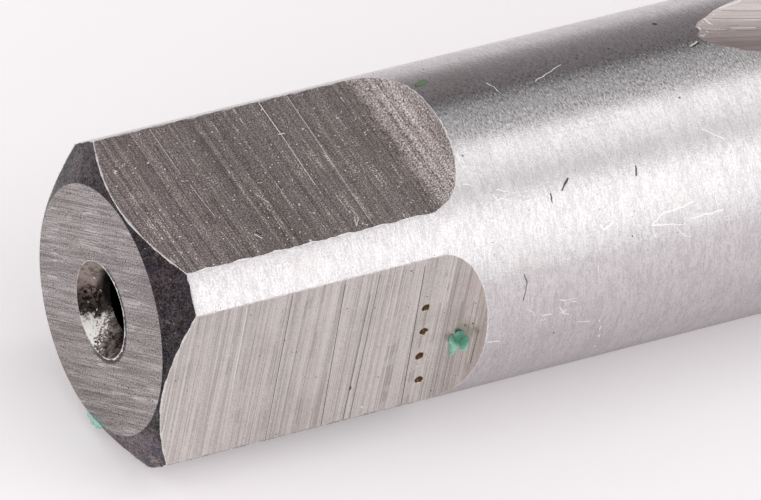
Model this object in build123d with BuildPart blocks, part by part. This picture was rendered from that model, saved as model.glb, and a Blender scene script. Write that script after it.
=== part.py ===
from build123d import *
from math import acos, cos, degrees, radians, sin, sqrt, tan
import os

# A straight-flute machine tap for a coarse metric thread, ground from one bar of tool steel.
# Millimetres. The axis of the tap is X: the square drive end is at X = 0 and the cutting end
# points along +X. The flats of the square face up, down and to both sides.

# Bar and drive square
overall_length = 138.0
shank_diameter = 20.0
flat_depth = 2.08
flat_length = 18.0
flat_runout_radius = 3.2

# Bevel round the drive end
bevel_width = 2.27
bevel_length = 1.4

# Centre hole, the same in both ends
centre_rim_diameter = 6.0
centre_cone_angle = 60.0
pilot_diameter = 4.0
pilot_depth = 8.0
drill_point_angle = 118.0

# Hardness test dents across one flat, each as (distance from the drive end, height)
dent_diameter = 0.5
dent_point_angle = 120.0
dent_places = [(17.7, 1.9), (17.9, -0.1), (18.0, -2.15), (18.3, -4.2)]

# Thread
thread_diameter = 30.0
thread_length = 48.0
pitch = 3.5
thread_depth = 2.08
flank_angle = 60.0
lead_length = 17.5
lead_drop = 2.5
back_cone_angle = 30.0
neck_radius = 4.0

# Flutes, cut by the rim of a grinding wheel that lifts out towards the shank
flute_count = 4
flute_turn = 5.5
flute_start = 40.0
core_diameter = 14.0
flute_bottom_radius = 6.8
cutting_face_lean = 20.0
heel_lean = 35.0
wheel_diameter = 200.0

# How far a cutter reaches past the surface that it cuts
clear = 1.0

# Sizes that follow from those above
shank_radius = shank_diameter / 2
flat_height = shank_radius - flat_depth
face_radius = shank_radius - bevel_width
thread_radius = thread_diameter / 2
thread_start = overall_length - thread_length
lead_start = overall_length - lead_length
front_radius = thread_radius - lead_drop
shoulder_height = thread_radius - shank_radius
back_cone_start = thread_start - shoulder_height / tan(radians(back_cone_angle))
core_radius = core_diameter / 2
wheel_radius = wheel_diameter / 2


# Flat cutter: one flat of the square, with the hollow that the milling cutter leaves at its end
with BuildPart() as flat_cutter:
    hollow_centre = flat_height + flat_runout_radius
    with BuildSketch(Plane.XZ):
        with BuildLine():
            floor = Line((-clear, flat_height), (flat_length, flat_height))
            hollow = CenterArc((flat_length, hollow_centre), flat_runout_radius, 270, 90)
            Polyline(
                hollow @ 1,
                (flat_length + flat_runout_radius, hollow_centre + flat_depth),
                (-clear, hollow_centre + flat_depth),
                floor @ 0,
            )
        make_face()
    extrude(amount=shank_radius, both=True)


# Centre hole cutter: a drilled pilot with a conical seat for a lathe centre, mouth at X = 0
with BuildPart() as centre_cutter:
    rim_radius = centre_rim_diameter / 2
    pilot_radius = pilot_diameter / 2
    seat_slope = tan(radians(centre_cone_angle / 2))
    seat_depth = (rim_radius - pilot_radius) / seat_slope
    point_length = pilot_radius / tan(radians(drill_point_angle / 2))
    with BuildSketch(Plane.XZ):
        with BuildLine():
            Polyline(
                (-clear, 0),
                (-clear, rim_radius + clear * seat_slope),
                (seat_depth, pilot_radius),
                (pilot_depth, pilot_radius),
                (pilot_depth + point_length, 0),
                close=True,
            )
        make_face()
    revolve(axis=Axis.X)


# Flute cutter: a rounded bottom between a steep cutting face and a sloping heel. It runs straight
# through the thread, then follows the rim of the wheel up and out of the shank.
with BuildPart() as flute_cutter:
    wheel_entry = sqrt(wheel_radius**2 - (wheel_radius - shank_radius + core_radius) ** 2)
    straight_start = flute_start + wheel_entry
    top = thread_radius + clear
    bottom_centre = core_radius + flute_bottom_radius
    face_lean = radians(cutting_face_lean)
    back_lean = radians(heel_lean)
    face_foot = Vector(
        flute_bottom_radius * cos(face_lean), bottom_centre - flute_bottom_radius * sin(face_lean)
    )
    heel_foot = Vector(
        -flute_bottom_radius * cos(back_lean), bottom_centre - flute_bottom_radius * sin(back_lean)
    )
    face_top = Vector(face_foot.X + (top - face_foot.Y) * tan(face_lean), top)
    heel_top = Vector(heel_foot.X - (top - heel_foot.Y) * tan(back_lean), top)
    wheel_axis = Axis((straight_start, 0, core_radius + wheel_radius), (0, 1, 0))
    wheel_arc = degrees(acos(1 - (top - core_radius) / wheel_radius))
    with BuildSketch(Plane.YZ.offset(straight_start)) as flute_section:
        with BuildLine():
            Line(face_top, face_foot)
            ThreePointArc(face_foot, (0, core_radius), heel_foot)
            Line(heel_foot, heel_top)
            Line(heel_top, face_top)
        make_face()
    extrude(amount=overall_length - straight_start + clear)
    revolve(flute_section.sketch, axis=wheel_axis, revolution_arc=wheel_arc)


# Thread groove cutter: one turn of the groove between two ridges, starting in the top flute
with BuildPart() as groove_cutter:
    root_radius = thread_radius - thread_depth
    flank_slope = tan(radians(flank_angle / 2))
    crest_width = pitch / 8
    mouth_width = pitch - crest_width
    root_width = mouth_width - 2 * thread_depth * flank_slope
    over = crest_width / 2
    with BuildLine() as turn:
        Helix(pitch=pitch, height=pitch, radius=root_radius, direction=(1, 0, 0))
    with BuildSketch(Plane(origin=turn.line @ 0, x_dir=(1, 0, 0), z_dir=(0, -1, 0))):
        Trapezoid(
            width=mouth_width + 2 * over * flank_slope,
            height=thread_depth + over,
            left_side_angle=90 - flank_angle / 2,
            align=(Align.CENTER, Align.MAX),
            rotation=180,
        )
    sweep(path=turn.line, is_frenet=True)


with BuildPart() as tap:
    # Turned blank: bevelled drive end, shank, back cone, thread land and lead taper
    with BuildSketch(Plane.XZ):
        with BuildLine():
            Polyline(
                (0, 0),
                (0, face_radius),
                (bevel_length, shank_radius),
                (back_cone_start, shank_radius),
                (thread_start, thread_radius),
                (lead_start, thread_radius),
                (overall_length, front_radius),
                (overall_length, 0),
                close=True,
            )
        make_face()
    revolve(axis=Axis.X)
    rims = tap.edges().filter_by(GeomType.CIRCLE)
    neck = rims.filter_by_position(Axis.X, back_cone_start - clear / 10, back_cone_start + clear / 10)
    fillet(neck, radius=neck_radius)

    # Drive square
    for side in range(4):
        add(flat_cutter.part, rotation=(90 * side, 0, 0), mode=Mode.SUBTRACT)

    # Flutes, evenly round the axis
    for number in range(flute_count):
        flute_angle = 360 / flute_count * number - flute_turn
        add(flute_cutter.part, rotation=(flute_angle, 0, 0), mode=Mode.SUBTRACT)

    # Thread: the groove's turns follow each other from the back cone to past the front end
    groove_turns = int((overall_length - back_cone_start) / pitch) + 2
    turn_places = [(back_cone_start + pitch * turn, 0, 0) for turn in range(groove_turns)]
    with Locations(*turn_places):
        add(groove_cutter.part, rotation=(-flute_turn, 0, 0), mode=Mode.SUBTRACT)

    # Centre holes in both ends
    add(centre_cutter.part, mode=Mode.SUBTRACT)
    with Locations((overall_length, 0, 0)):
        add(centre_cutter.part, rotation=(0, 0, 180), mode=Mode.SUBTRACT)

    # Hardness test dents, each the point of a cone pressed into the flat
    dent_depth = dent_diameter / 2 / tan(radians(dent_point_angle / 2))
    with Locations(Plane(origin=(0, -flat_height - dent_depth, 0), x_dir=(1, 0, 0), z_dir=(0, -1, 0))):
        with Locations(*dent_places):
            Cone(
                bottom_radius=0,
                top_radius=dent_diameter,
                height=2 * dent_depth,
                align=(Align.CENTER, Align.CENTER, Align.CENTER),
                mode=Mode.SUBTRACT,
            )

tap.part.label = "tap"
os.makedirs("parts", exist_ok=True)
export_step(tap.part, "parts/tap.step")
print("tap volume, cubic millimetres:", round(tap.part.volume, 1))
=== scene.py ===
import math

import bmesh
import bpy
import numpy as np
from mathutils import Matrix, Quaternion, Vector, noise


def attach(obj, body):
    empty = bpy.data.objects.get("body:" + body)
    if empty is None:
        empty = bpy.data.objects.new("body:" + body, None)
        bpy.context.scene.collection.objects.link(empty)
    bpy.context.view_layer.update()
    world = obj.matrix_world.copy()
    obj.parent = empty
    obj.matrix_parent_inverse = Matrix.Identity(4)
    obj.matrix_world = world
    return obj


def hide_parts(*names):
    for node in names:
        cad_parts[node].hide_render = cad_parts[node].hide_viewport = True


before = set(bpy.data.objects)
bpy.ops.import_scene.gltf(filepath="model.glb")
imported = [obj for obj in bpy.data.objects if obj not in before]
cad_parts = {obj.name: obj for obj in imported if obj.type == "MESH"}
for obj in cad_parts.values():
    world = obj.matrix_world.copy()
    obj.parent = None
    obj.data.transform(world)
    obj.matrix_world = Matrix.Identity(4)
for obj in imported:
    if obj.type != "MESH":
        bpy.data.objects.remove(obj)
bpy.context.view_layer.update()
scene = bpy.context.scene
mm = 0.001
print("frame loaded")


def addObject(name, data):
    thing = bpy.data.objects.new(name, data)
    scene.collection.objects.link(thing)
    return thing


# The tap's sizes in millimetres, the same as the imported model's
tapSize = {
    "length": 138.0, "shankRadius": 10.0,
    "flatHeight": 7.92, "flatEnd": 18.0, "hollowRadius": 3.2,
    "faceRadius": 7.73, "bevelLength": 1.4,
    "threadRadius": 15.0, "leadStart": 120.5, "frontRadius": 12.5,
    "pitch": 3.5, "rootRadius": 12.92, "crestHalf": 0.21875, "rootHalf": 0.3303,
    "flankAngle": 30.0, "coneAngle": 30.0, "coneStart": 81.34, "neckRadius": 4.0,
    "fluteTurn": 5.5, "fluteStart": 40.0, "coreRadius": 7.0, "fluteBottom": 6.8,
    "faceLean": 20.0, "heelLean": 35.0, "wheelRadius": 100.0,
}
# Centre hole, from the bottom of its pilot out to its rim: place along the tap and radius
centreHole = [(9.2, 0.0), (8.0, 2.0), (4.6, 2.0), (1.732, 2.0), (1.3, 2.25), (0.9, 2.48), (0.45, 2.74),
              (0.0, 3.0)]

# How worn the edges are and how finely they are divided
edgeWear = {
    "landWave": 0.085, "landFine": 0.03, "burrWidth": 0.05, "burrLift": 0.025, "rimBurr": 0.075,
    "hollowJitter": 0.03, "creaseLine": 0.07, "tipChip": 0.3, "crestBreak": 0.035,
    "rowStep": 0.13, "seed": 11,
    "fluteLate": (0.0, 0.3, 0.2, 0.75),  # how much later than the first the wheel came down in each flute
}

# Hardness test dents on the side flat: place along the tap and height, then the shape of each
dentSet = {
    "places": [(17.7, 1.9), (17.9, -0.1), (18.0, -2.15), (18.3, -4.2)],
    "radius": 0.25, "depth": 0.14, "lip": 0.02, "cuts": 5,
}

zoneNames = ["centreHole", "endFace", "bevel", "flat", "shank", "edge", "flute", "thread", "crest",
             "frontFace"]
zone = {name: number for number, name in enumerate(zoneNames)}


def wobble(values, wave, seed, fall=0.6):
    # smooth random numbers between about -1 and 1 along a line; fall is how much each finer wave loses
    rng = np.random.default_rng(seed)
    values = np.asarray(values, float)
    total = np.zeros_like(values)
    for octave in range(4):
        length = wave / 1.9**octave
        total += np.sin(values * 2 * np.pi / length + rng.uniform(0, 6.28)) * fall**octave
    return total / 1.7


def wallAngle(radius, lean):
    # angle from the flute's middle to its wall, in radians, at a distance from the axis
    bottom = tapSize["fluteBottom"]
    centre = tapSize["coreRadius"] + bottom
    lean = math.radians(lean)
    foot = np.array([bottom * math.cos(lean), centre - bottom * math.sin(lean)])
    along = np.array([math.sin(lean), math.cos(lean)])
    radius = np.asarray(radius, float)
    onArc = np.arccos(np.clip((radius**2 + centre**2 - bottom**2) / (2 * radius * centre), -1, 1))
    reach = foot @ along
    step = -reach + np.sqrt(np.maximum(reach**2 + radius**2 - foot @ foot, 0))
    onWall = np.arctan2(foot[0] + step * along[0], foot[1] + step * along[1])
    return np.where(radius < np.hypot(*foot), onArc, onWall)


def cutWall(radius):
    return wallAngle(radius, tapSize["faceLean"])


def heelWall(radius):
    return wallAngle(radius, tapSize["heelLean"])


def tapColumns():
    # lines along the tap, in order round it: kind, quarter, value, angle on the shank, side of a flat's edge
    shank = tapSize["shankRadius"]
    mouth = float(cutWall(shank))
    flute = math.radians(tapSize["fluteTurn"])
    flatEdge = math.acos(tapSize["flatHeight"] / shank)
    landEnd = math.pi / 2 - mouth + flute
    split = math.radians(0.35)
    landAngles = [(flute + mouth, 0), (math.radians(35.5), 0), (flatEdge - split, -1), (flatEdge + split, 1)]
    landAngles += [(angle, 0) for angle in np.radians(np.linspace(39.4, 50.6, 6))]
    landAngles += [(math.pi / 2 - flatEdge - split, 1), (math.pi / 2 - flatEdge + split, -1)]
    landAngles += [(angle, 0) for angle in np.radians(np.linspace(54.4, 65.9, 7))] + [(landEnd, 0)]
    columns = []
    for quarter in range(4):
        turn = quarter * math.pi / 2
        for across in np.linspace(-1, 1, 23) * shank * math.sin(mouth):
            columns.append((0, quarter, across, turn + flute + math.asin(across / shank), 0))
        for radius in (10.6, 11.3, 12.0, 12.6, 13.13, 14.0):
            columns.append((1, quarter, radius, turn + flute + mouth, 0))
        for angle, side in landAngles:
            share = (angle - landAngles[0][0]) / (landEnd - landAngles[0][0])
            columns.append((2, quarter, share, turn + angle, side))
        for radius in (13.8, 12.6, 11.36, 10.6):
            columns.append((3, quarter, radius, turn + landEnd, 0))
    return [np.array(part) for part in zip(*columns)]


def bodyRadius(along):
    # radius of the turned blank from the back cone to the front end
    size = tapSize
    cone = size["shankRadius"] + (along - size["coneStart"]) * math.tan(math.radians(size["coneAngle"]))
    slope = (size["threadRadius"] - size["frontRadius"]) / (size["length"] - size["leadStart"])
    lead = size["threadRadius"] - (along - size["leadStart"]) * slope
    return np.minimum(np.minimum(cone, lead), size["threadRadius"])


def threadRadius(along, ridge):
    # radius of the thread's own section beside the middle of a ridge
    flank = (np.abs(along - ridge) - tapSize["crestHalf"]) / math.tan(math.radians(tapSize["flankAngle"]))
    return np.maximum(tapSize["threadRadius"] - np.maximum(flank, 0), tapSize["rootRadius"])


def crestCorner(ridge, side):
    # where a flank meets the blank, found by halving
    rootEnd = ridge + side * (tapSize["pitch"] / 2 - tapSize["rootHalf"])
    crestEnd = ridge + side * tapSize["crestHalf"]
    low, high = rootEnd, crestEnd
    for step in range(24):
        middle = (low + high) / 2
        under = threadRadius(middle, ridge) < bodyRadius(middle)
        low, high = np.where(under, middle, low), np.where(under, high, middle)
    return high


def wheelPlace(quarter):
    # the grinding wheel's middle: its height above the axis, and its place along each quarter's flute
    size = tapSize
    height = size["coreRadius"] + size["wheelRadius"]
    along = size["fluteStart"] + math.sqrt(size["wheelRadius"]**2 - (height - size["shankRadius"])**2)
    return height, along + np.array(edgeWear["fluteLate"])[quarter]


def buildTapMesh():
    size, wear = tapSize, edgeWear
    kind, quarter, value, angle, side = tapColumns()
    count = len(kind)
    shank, flatHeight, flatEnd = size["shankRadius"], size["flatHeight"], size["flatEnd"]
    # each column's place across its own flat and its own flute
    flatTurn = np.round(angle / (math.pi / 2)) * (math.pi / 2)
    local = angle - flatTurn
    flatEdge = math.acos(flatHeight / shank)
    onFlat = np.abs(local) < flatEdge
    across = flatHeight * np.tan(np.where(onFlat, local, 0))
    fluteTurn = math.radians(size["fluteTurn"]) + quarter * math.pi / 2
    aside = np.where(kind == 0, value, 0)
    shell = np.sqrt(shank**2 - aside**2)
    bottomHeight = size["coreRadius"] + size["fluteBottom"]
    floor = bottomHeight - np.sqrt(np.maximum(size["fluteBottom"]**2 - aside**2, 0))
    wheelHeight, fullDepth = wheelPlace(quarter)
    rows, rowZones = [], []

    def addRow(along, radius, turn, zones):
        rows.append([np.broadcast_to(part, count) for part in (along, radius, turn)])
        rowZones.append(np.broadcast_to(zones, count))

    # centre hole, end face and bevel
    for along, radius in centreHole:
        addRow(along, radius, angle, zone["centreHole"])
    rowZones[-1] = np.full(count, zone["edge"])
    face, rim = size["faceRadius"], centreHole[-1][1]
    rough = np.clip(1 + wobble(angle * rim, 1.3, 21) + 0.5 * wobble(angle * rim, 0.4, 22), 0.3, 3)
    ring = rim + wear["rimBurr"] * rough * np.clip(0.55 - np.sin(angle - 0.3), 0.3, 1.1)
    for share in np.linspace(0, 1, 7):
        addRow(0, ring + (face - ring) * share, angle, zone["endFace"])
    rowZones[-1] = np.full(count, zone["bevel"])
    edgeRadius = np.where(onFlat, flatHeight / np.cos(local), shank)
    edgeAlong = (edgeRadius - face) / (shank - face) * size["bevelLength"]
    bevelLine = np.hypot(edgeRadius - face, edgeAlong)
    arc = angle * shank
    burr = 1 + 0.9 * wobble(arc, 1.3, wear["seed"]) + 0.7 * wobble(arc, 0.4, wear["seed"] + 1)
    burr = wear["burrWidth"] * burr
    burr = np.minimum(np.clip(burr, 0.012, 0.12), 0.4 * bevelLine)
    for share in (0.25, 0.5, 0.75, 1.0):
        share = share * (1 - burr / bevelLine)
        addRow(edgeAlong * share, face + (edgeRadius - face) * share, angle, zone["bevel"])
    rowZones[-1] = np.full(count, zone["edge"])
    lift = wear["burrLift"] * np.clip(1 + wobble(arc, 0.5, wear["seed"] + 2), 0, 2)
    addRow(edgeAlong - 0.3 * lift, edgeRadius + np.where(onFlat, lift, -0.02), angle, zone["edge"])

    # flats and lands, with nicks along the edges between them
    landRows = list(1.62 + np.arange(0, flatEnd - 1.62 - 0.08, wear["rowStep"])) + [flatEnd]
    startRows = [edgeAlong + burr, edgeAlong + burr + (1.5 - edgeAlong - burr) * 0.4,
                 edgeAlong + burr + (1.5 - edgeAlong - burr) * 0.75]
    stripFace = (side * np.roll(side, -1)) == -1
    flatFace = onFlat & np.roll(onFlat, -1) & ~stripFace
    flatZones = np.where(flatFace, zone["flat"], zone["shank"])
    for along in startRows + landRows:
        along = np.broadcast_to(np.asarray(along, float), count)
        waves = np.zeros(count)
        for j in np.nonzero(side)[0]:
            seed = wear["seed"] + 5 + int(angle[j] * 1000) % 997
            waves[j] = wobble(along[j], 2.3, seed, 0.5) + 0.25 * wobble(along[j], 0.6, seed + 1, 0.4)
        nick = np.clip(wear["landFine"] + wear["landWave"] * (waves + 0.5), 0.012, 0.24)
        flatSide = np.sign(local) * (shank * math.sin(flatEdge) - nick)
        sideways = np.where(side == -1, flatSide, across)
        turned = np.where(side == 1, np.sign(local) * (flatEdge + nick / shank), local)
        radius = np.where(onFlat, np.hypot(flatHeight, sideways), shank)
        turned = np.where(onFlat, np.arctan2(sideways, flatHeight), turned)
        # the last row meets the round shank
        addRow(along, radius, flatTurn + turned, flatZones)
    lastSideways = sideways
    lastTurn = flatTurn + turned

    # hollow run-outs of the flats
    hollow = size["hollowRadius"]
    hollowCentre = flatHeight + hollow
    surface = np.sqrt(shank**2 - lastSideways**2)
    sweep = np.where(onFlat, np.arccos(np.clip((hollowCentre - surface) / hollow, -1, 1)), 0)
    jitter = wear["hollowJitter"] * (wobble(arc, 0.8, 31) + 0.6 * wobble(arc, 0.27, 32))
    for share in np.linspace(0, 1, 13)[1:]:
        height = hollowCentre - hollow * np.cos(sweep * share)
        along = flatEnd + hollow * np.sin(sweep * share) + (jitter * onFlat if share == 1 else 0)
        radius = np.where(onFlat, np.hypot(height, lastSideways), shank)
        turned = np.where(onFlat, flatTurn + np.arctan2(lastSideways, height), lastTurn)
        addRow(along, radius, turned, flatZones)
    rowZones[-1] = np.where(flatFace, zone["edge"], zone["shank"])
    creaseTurn = turned
    creaseAlong = along + wear["creaseLine"] * np.clip(1 + wobble(arc, 0.9, 33), 0.2, 2) * onFlat
    addRow(creaseAlong, shank, turned, zone["shank"])

    # round shank, up to where the wheel starts each flute
    wheelReach = np.maximum((wheelHeight - floor)**2 - (wheelHeight - shell)**2, 0)
    tip = fullDepth - np.sqrt(wheelReach) * (kind == 0)
    depth = np.clip((fullDepth - tip) / 4, 0, 1)
    tip = tip + wear["tipChip"] * depth * (wobble(arc, 1.1, 41) + 0.5 * wobble(arc, 0.4, 42))
    shares = np.concatenate([[0.004, 0.012], np.linspace(0, 1, 41)[1:-1], [0.996, 1.0]])
    for share in shares:
        morph = np.clip(share * 3.2, 0, 1)
        morph = morph * morph * (3 - 2 * morph)
        along = creaseAlong + (tip - creaseAlong) * share
        addRow(along, shank, creaseTurn + (angle - creaseTurn) * morph, zone["shank"])
    between = np.where((kind == 2) & (np.roll(kind, -1) == 2), zone["shank"], zone["flute"])
    rowZones[-1] = between

    def addFluteRow(along, landRadius, zones):
        # one row across the flutes and lands, where land radius holds for every column
        fluteAngle = fluteTurn + np.arctan2(aside, sunk)
        cutAngle = fluteTurn + cutWall(landRadius)
        heelAngle = fluteTurn + math.pi / 2 - heelWall(landRadius)
        wall = np.minimum(value, landRadius)
        outside = np.maximum(wall, shank)
        radius = np.select([kind == 0, kind == 2], [np.hypot(aside, sunk), landRadius], wall)
        landAngle = cutAngle + value * (heelAngle - cutAngle)
        turned = np.select([kind == 0, kind == 1, kind == 2],
                           [fluteAngle, fluteTurn + cutWall(outside), landAngle],
                           fluteTurn + math.pi / 2 - heelWall(outside))
        addRow(along, radius, turned, zones)

    # wheel run-out of the flutes, then the fluted neck
    for share in np.linspace(0, 1, 15)[1:]:
        along = tip + (fullDepth - tip) * share
        drop = np.maximum((wheelHeight - floor)**2 - (fullDepth - along)**2, 0)
        sunk = np.minimum(wheelHeight - np.sqrt(drop), shell)
        addFluteRow(along, np.full(count, shank), between)
    sunk = floor
    neckStart = size["coneStart"] - size["neckRadius"] * math.tan(math.radians(size["coneAngle"] / 2))
    for share in np.linspace(0, 1, 7)[1:]:
        addFluteRow(fullDepth + (neckStart - fullDepth) * share, np.full(count, shank), between)
    coneTurn = math.radians(size["coneAngle"])
    for share in np.linspace(0, coneTurn, 6)[1:]:
        radius = shank + size["neckRadius"] * (1 - math.cos(share))
        addFluteRow(neckStart + size["neckRadius"] * math.sin(share), np.full(count, radius), between)
    coneFrom = neckStart + size["neckRadius"] * math.sin(coneTurn)

    # threaded part, one ridge after another
    edgeColumn = np.arange(count)
    for j in range(count):
        if kind[j] == 1:
            edgeColumn[j] = j + int(np.argmax(kind[j:] == 2))
        elif kind[j] == 3:
            edgeColumn[j] = j - int(np.argmax(kind[:j + 1][::-1] == 2))
    threadTurn = angle[edgeColumn]
    crestZones, flankZones, nickZones = [np.where(between == zone["flute"], zone["flute"], zone[name])
                                         for name in ("crest", "thread", "edge")]
    firstMeet = size["coneStart"] + (size["rootRadius"] - shank) / math.tan(coneTurn)
    breakWidth = wear["crestBreak"]
    ridges = int((size["length"] - coneFrom) / size["pitch"]) + 2
    for number in range(-1, ridges):
        helix = threadTurn - math.radians(size["fluteTurn"])
        ridge = size["coneStart"] + size["pitch"] * (number + 0.5) - size["pitch"] * helix / (2 * math.pi)
        rootLeft = ridge - size["pitch"] / 2 + size["rootHalf"]
        rootRight = ridge + size["pitch"] / 2 - size["rootHalf"]
        left, right = crestCorner(ridge, -1), crestCorner(ridge, 1)
        middle = (left + right) / 2
        stations = [
            (rootLeft, flankZones), (np.maximum(left - breakWidth, rootLeft), nickZones),
            (np.minimum(left + breakWidth, middle), crestZones),
            (np.maximum(right - breakWidth, middle), nickZones),
            (np.minimum(right + breakWidth, rootRight), flankZones), (rootRight, flankZones),
            (np.clip(firstMeet, rootRight, rootRight + 2 * size["rootHalf"]), flankZones)]
        for along, zones in stations:
            along = np.clip(along, coneFrom, size["length"])
            landRadius = np.minimum(bodyRadius(along), threadRadius(along, ridge))
            along = along.copy()
            # across a flute's floor the row runs straight from one land to the next
            for q in range(4):
                inside = np.where((kind == 0) & (quarter == q))[0]
                before, after = inside[0] - 1, inside[-1] + 1
                along[inside] = np.linspace(along[before], along[after], len(inside) + 2)[1:-1]
            addFluteRow(along, landRadius, zones)
    addFluteRow(np.full(count, size["length"]), np.full(count, size["frontRadius"]), zone["frontFace"])

    # front face and its centre hole
    ringAngle = angle.copy()
    for q in range(4):
        turn = math.radians(size["fluteTurn"]) + q * math.pi / 2
        ringAngle[(kind == 1) & (quarter == q)] = turn + np.radians(np.linspace(30.5, 40, 6))
        lands = (kind == 2) & (quarter == q)
        ringAngle[lands] = turn + np.radians(41 + 20 * value[lands])
        ringAngle[(kind == 3) & (quarter == q)] = turn + np.radians(61.8)
    outline = rows[-1]
    outY, outZ = outline[1] * np.sin(outline[2]), outline[1] * np.cos(outline[2])
    for share in (0.3, 0.6, 0.85):
        y = outY + (rim * np.sin(ringAngle) - outY) * share
        z = outZ + (rim * np.cos(ringAngle) - outZ) * share
        addRow(size["length"], np.hypot(y, z), np.arctan2(y, z), zone["frontFace"])
    for along, radius in centreHole[::-1]:
        addRow(size["length"] - along, radius, ringAngle, zone["centreHole"])

    # weld the grid into one closed skin
    grid = np.array(rows)
    points = np.stack([grid[:, 0], grid[:, 1] * np.sin(grid[:, 2]), grid[:, 1] * np.cos(grid[:, 2])], axis=-1)
    flat = np.round(points.reshape(-1, 3), 4)
    unique, index = np.unique(flat, axis=0, return_inverse=True)
    index = index.reshape(points.shape[:2])
    beside = np.roll(index, -1, 1)
    corners = np.stack([index[:-1], index[1:], beside[1:], beside[:-1]], axis=-1).reshape(-1, 4)
    faceZones = np.array(rowZones[:-1]).reshape(-1)
    faces, zones = [], []
    for corner, number in zip(corners.tolist(), faceZones.tolist()):
        ring = [c for n, c in enumerate(corner) if c != corner[n - 1]]
        if len(set(ring)) == len(ring) and len(ring) > 2:
            faces.append(ring)
            zones.append(number)
    mesh = bpy.data.meshes.new("tapBody")
    mesh.from_pydata((unique * mm).tolist(), [], faces)
    mesh.polygons.foreach_set("material_index", zones)
    return mesh


def setNormals(mesh):
    # exact normals where the skin is truly round: the shank, and the floors and run-outs of the flutes
    size = tapSize
    count = len(mesh.vertices)
    points = np.zeros(count * 3)
    mesh.vertices.foreach_get("co", points)
    points = points.reshape(-1, 3) / mm
    radius = np.hypot(points[:, 1], points[:, 2])
    turn = np.degrees(np.arctan2(points[:, 1], points[:, 2])) - size["fluteTurn"]
    quarter = np.round(turn / 90).astype(int) % 4
    turn = np.radians(size["fluteTurn"] + 90 * quarter)
    across = points[:, 1] * np.cos(turn) - points[:, 2] * np.sin(turn)
    height = points[:, 1] * np.sin(turn) + points[:, 2] * np.cos(turn)
    ringRadius = size["wheelRadius"] - size["fluteBottom"]
    wheelHeight, fullDepth = wheelPlace(quarter)
    spokeX = np.minimum(points[:, 0] - fullDepth, 0)
    spokeH = height - wheelHeight
    spoke = np.hypot(spokeX, spokeH)
    outward = ringRadius / spoke - 1
    toRing = np.stack([spokeX * outward, -across, spokeH * outward], axis=-1)
    reach = np.linalg.norm(toRing, axis=-1)
    onFloor = np.abs(reach - size["fluteBottom"]) < 0.02
    toRing /= reach[:, None]
    floorNormals = np.stack([toRing[:, 0], toRing[:, 1] * np.cos(turn) + toRing[:, 2] * np.sin(turn),
                             -toRing[:, 1] * np.sin(turn) + toRing[:, 2] * np.cos(turn)], axis=-1)
    onShank = (np.abs(radius - size["shankRadius"]) < 0.003) & (points[:, 0] > size["bevelLength"])
    roundNormals = points * (0, 1, 1) / np.maximum(radius, 1)[:, None]
    loopVerts = np.zeros(len(mesh.loops), int)
    mesh.loops.foreach_get("vertex_index", loopVerts)
    loopZones = zonesOfLoops(mesh)
    normals = np.zeros((len(mesh.loops), 3))
    pick = (loopZones == zone["shank"]) & onShank[loopVerts]
    normals[pick] = roundNormals[loopVerts[pick]]
    pick = (loopZones == zone["flute"]) & onFloor[loopVerts]
    normals[pick] = floorNormals[loopVerts[pick]]
    mesh.normals_split_custom_set(normals.tolist())


def zonesOfLoops(mesh):
    zones = np.zeros(len(mesh.polygons), int)
    totals = np.zeros(len(mesh.polygons), int)
    mesh.polygons.foreach_get("material_index", zones)
    mesh.polygons.foreach_get("loop_total", totals)
    return np.repeat(zones, totals)


def checkMesh(mesh):
    # volume, closedness and size of a mesh, printed for the reader
    work = bmesh.new()
    work.from_mesh(mesh)
    loose = sum(1 for e in work.edges if len(e.link_faces) != 2)
    triangles = sum(len(f.verts) - 2 for f in work.faces)
    print("volume mm3", round(work.calc_volume(signed=True) * 1e9, 1), "edges not shared by two faces", loose,
          "triangles", triangles)
    work.free()


tapMesh = buildTapMesh()
checkMesh(tapMesh)
print("tap mesh built")


def addDents(mesh):
    # the four hardness dents are pressed into the side flat, with a slight lip round each
    work = bmesh.new()
    work.from_mesh(mesh)
    places = [Vector((x, -tapSize["flatHeight"], z)) * mm for x, z in dentSet["places"]]
    reach = dentSet["radius"] * 1.7 * mm
    near = [f for f in work.faces if f.normal.y < -0.9
            and any((f.calc_center_median() - place).length < reach for place in places)]
    edges = list({edge for face in near for edge in face.edges})
    bmesh.ops.subdivide_edges(work, edges=edges, cuts=dentSet["cuts"], use_grid_fill=True)
    for vert in work.verts:
        if abs(vert.co.x - 18 * mm) > 1.2 * mm or vert.co.y > -7.7 * mm:
            continue
        for place in places:
            away = math.hypot(vert.co.x - place.x, vert.co.z - place.z) / (dentSet["radius"] * mm)
            if away < 1:
                vert.co.y += dentSet["depth"] * mm * (1 - away**1.3)
            elif away < 1.6:
                vert.co.y -= dentSet["lip"] * mm * math.sin(math.pi * (away - 1) / 0.6)
    work.to_mesh(mesh)
    work.free()


def markCreases(mesh, angle):
    # smooth everywhere but where two finishes meet or the skin turns sharply
    mesh.polygons.foreach_set("use_smooth", [True] * len(mesh.polygons))
    mesh.update()
    mesh.set_sharp_from_angle(angle=angle)
    sharp = np.zeros(len(mesh.edges), bool)
    mesh.attributes["sharp_edge"].data.foreach_get("value", sharp)
    loopEdges = np.zeros(len(mesh.loops), int)
    mesh.loops.foreach_get("edge_index", loopEdges)
    loopZones = zonesOfLoops(mesh)
    low = np.full(len(mesh.edges), len(zoneNames))
    high = np.zeros(len(mesh.edges), int)
    np.minimum.at(low, loopEdges, loopZones)
    np.maximum.at(high, loopEdges, loopZones)
    mesh.attributes["sharp_edge"].data.foreach_set("value", sharp | (low != high))


addDents(tapMesh)
checkMesh(tapMesh)
markCreases(tapMesh, math.radians(24))
setNormals(tapMesh)
tapBody = addObject("tapBody", tapMesh)
print("edges and dents done")


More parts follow.
